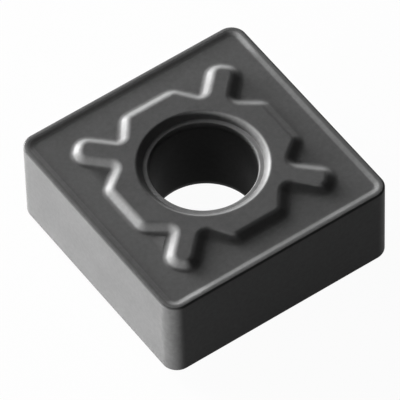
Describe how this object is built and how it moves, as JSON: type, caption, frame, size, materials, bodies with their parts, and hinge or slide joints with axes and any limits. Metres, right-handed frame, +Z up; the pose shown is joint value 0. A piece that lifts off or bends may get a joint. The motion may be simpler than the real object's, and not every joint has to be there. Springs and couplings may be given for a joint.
{
  "type": "square carbide turning insert",
  "caption": "Square cutting insert with vertical flanks, rounded corners, a countersunk clamping bore and a raised chip breaker with a finger towards each corner, alike on both faces.",
  "frame": {"origin": "on the bore's axis, in the plane of the lower seat face", "axes": "+Z up the bore, +X and +Y square to the flanks"},
  "size_m": [0.0126, 0.0126, 0.0052],
  "materials": {
    "coated_carbide": "dark grey coated carbide, satin"
  },
  "bodies": {
    "root": {"insert": "coated_carbide"}
  },
  "joints": []
}
